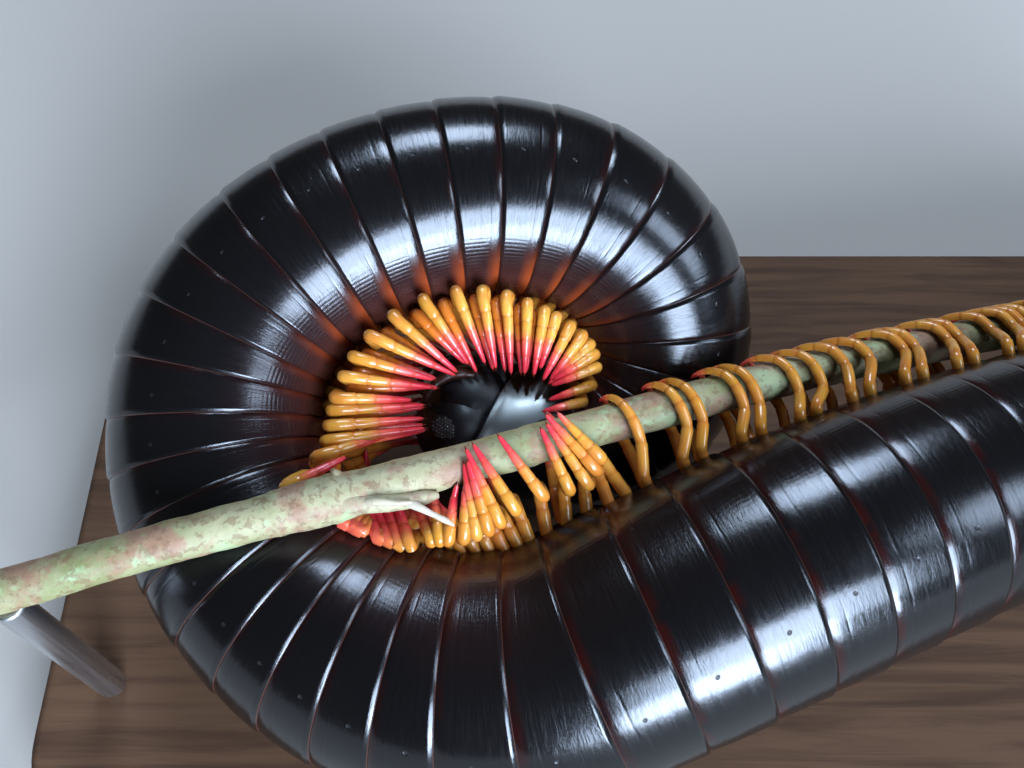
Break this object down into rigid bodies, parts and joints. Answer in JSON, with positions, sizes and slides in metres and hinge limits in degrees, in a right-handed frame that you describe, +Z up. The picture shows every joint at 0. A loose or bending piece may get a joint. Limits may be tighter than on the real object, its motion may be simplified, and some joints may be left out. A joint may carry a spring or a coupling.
{
  "type": "giant millipede model",
  "caption": "Life-size still model of a glossy black millipede with ruby-tipped legs, coiled round a short length of twig that is held by a small flat display stand.",
  "frame": {"origin": "middle of the underside of the display stand's base", "axes": "+X along the base's long side, from the coiled head end towards the tail; +Y towards the back; +Z up"},
  "size_m": [0.113, 0.05, 0.0309],
  "materials": {
    "black_cuticle": "glossy, dark red under the rings and on the legs",
    "antenna_amber": "satin",
    "eye_black": "gloss",
    "twig_bark": "matte bark",
    "stand_base": "pale satin paint",
    "stand_rod": "brushed"
  },
  "bodies": {
    "root": {"anal_valve_left": "black_cuticle", "anal_valve_right": "black_cuticle", "antenna_left": "antenna_amber", "antenna_right": "antenna_amber", "collum": "black_cuticle", "eye_left": "eye_black", "eye_right": "eye_black", "head": "black_cuticle", "perch_twig": "twig_bark", "stand_base": "stand_base", "stand_rod_left": "stand_rod", "stand_rod_right": "stand_rod", "telson": "black_cuticle", "trunk_back": "black_cuticle", "trunk_bend": "black_cuticle", "trunk_coil_front": "black_cuticle", "trunk_coil_rear": "black_cuticle", "trunk_neck": "black_cuticle", "trunk_rump": "black_cuticle", "trunk_tail": "black_cuticle"}
  },
  "joints": []
}
